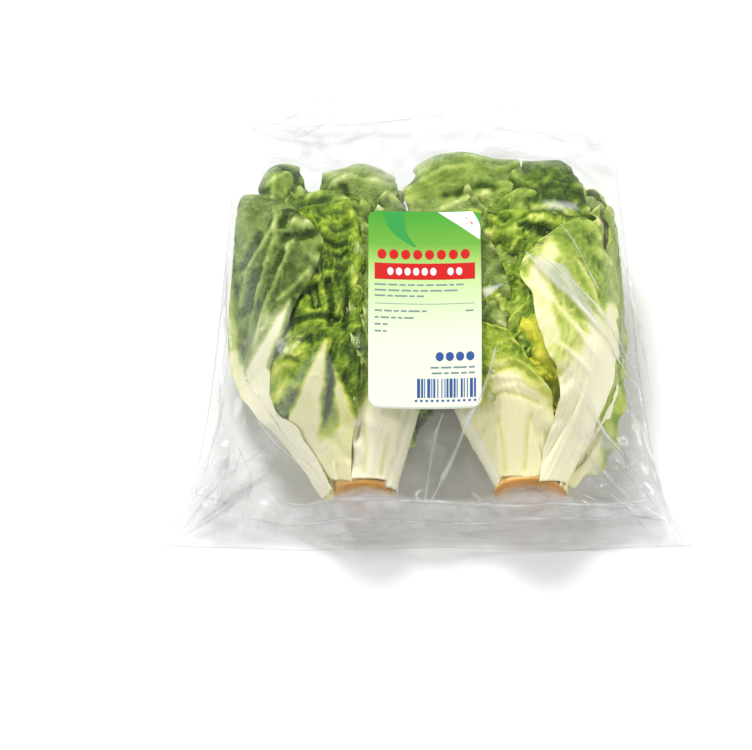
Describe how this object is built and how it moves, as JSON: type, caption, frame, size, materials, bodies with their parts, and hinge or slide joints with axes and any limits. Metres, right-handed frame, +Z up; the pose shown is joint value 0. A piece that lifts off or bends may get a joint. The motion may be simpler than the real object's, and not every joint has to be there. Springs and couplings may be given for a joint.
{
  "type": "pack of romaine hearts",
  "caption": "Romaine lettuce hearts side by side in a clear, glossy film bag with a printed sticker over the valley between them, lying on its back.",
  "frame": {"origin": "centre of the pack's outline seen from above, on the surface it lies on", "axes": "+X across the two hearts, to the viewer's right; +Y from the cut stems to the leaf tips; +Z up, out of the labelled side"},
  "size_m": [0.236, 0.211, 0.0642],
  "materials": {
    "salad_in_film": "pale to mid green lettuce seen through clear glossy film",
    "film": "thin clear film, glossy, with creases",
    "leaf": "crinkled lettuce leaf, dark green blades paling to cream ribs, slightly waxy",
    "stem_cut": "cut stem, cream with a browned rim, moist",
    "label": "white sticker that shades to green at its top, semi-gloss",
    "label_red": "red print, semi-gloss",
    "label_blue": "dark blue print, semi-gloss",
    "label_green": "green print that fades downwards, semi-gloss"
  },
  "bodies": {
    "root": {"bag": "salad_in_film", "label": "label"}
  },
  "joints": []
}
